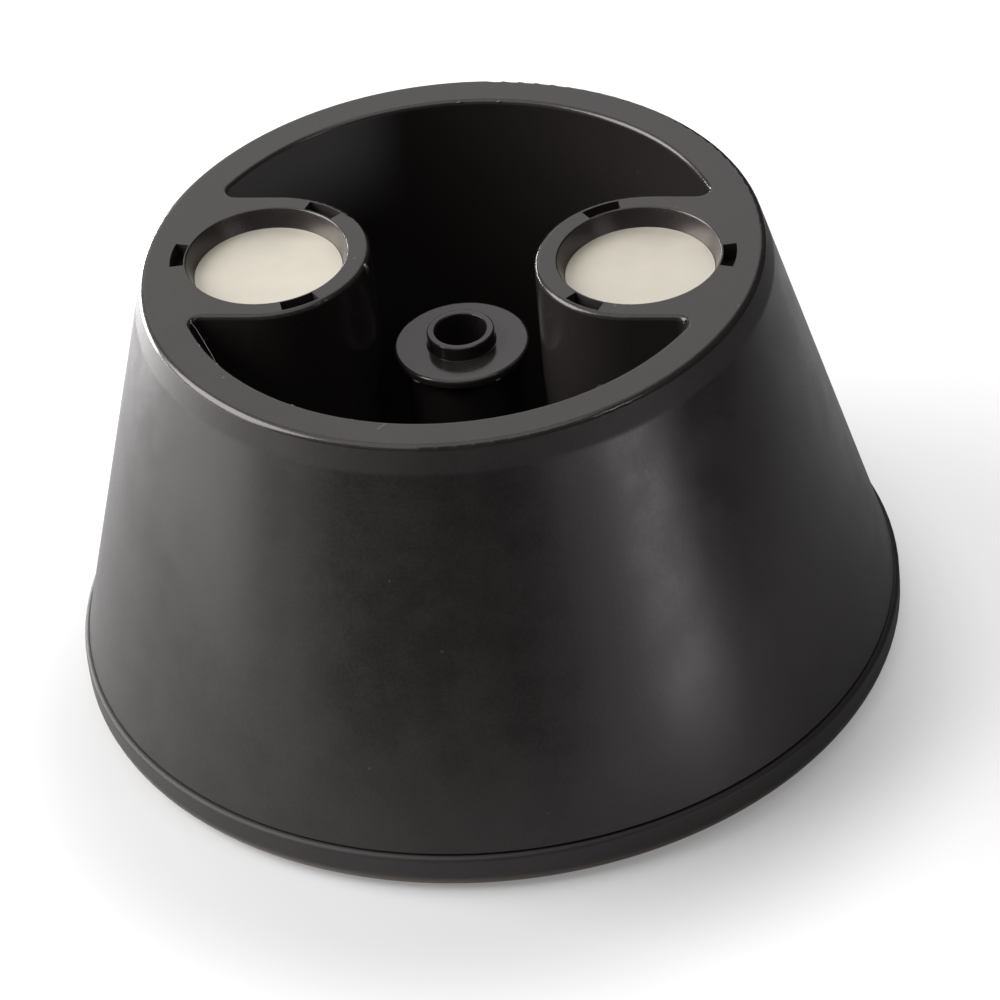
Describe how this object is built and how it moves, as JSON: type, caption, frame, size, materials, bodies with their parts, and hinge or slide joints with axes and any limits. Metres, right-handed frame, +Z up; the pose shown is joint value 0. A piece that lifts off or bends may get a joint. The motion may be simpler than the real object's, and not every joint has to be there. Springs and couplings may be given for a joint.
{
  "type": "fixed angle rotor",
  "caption": "Conical black moulded centrifuge rotor body with a hollow narrow end, two disc magnets in snap-in wells, a central shaft hub with a through bore and a dished base cap.",
  "frame": {"origin": "on the rotor's axis, in the plane of the ring it stands on", "axes": "+Z up the axis towards the narrow end, with the two magnets along X"},
  "size_m": [0.137, 0.137, 0.0752],
  "materials": {
    "cone_plastic": "fine matt moulded black",
    "cap_plastic": "fine matt moulded black",
    "hub_plastic": "smooth satin black",
    "holder_plastic": "plain moulded black",
    "magnet_plating": "satin nickel plating with a warm tone",
    "keeper_steel": "plain zinc-plated steel",
    "insert_brass": "turned brass",
    "screw_steel": "zinc-plated steel"
  },
  "bodies": {
    "root": {"rotor_cone": "cone_plastic", "base_cap": "cap_plastic", "shaft_hub": "hub_plastic", "holder_left": "holder_plastic", "holder_right": "holder_plastic", "magnet_left": "magnet_plating", "magnet_right": "magnet_plating", "keeper_left": "keeper_steel", "keeper_right": "keeper_steel", "drive_insert": "insert_brass", "cap_screws": "screw_steel"}
  },
  "joints": []
}
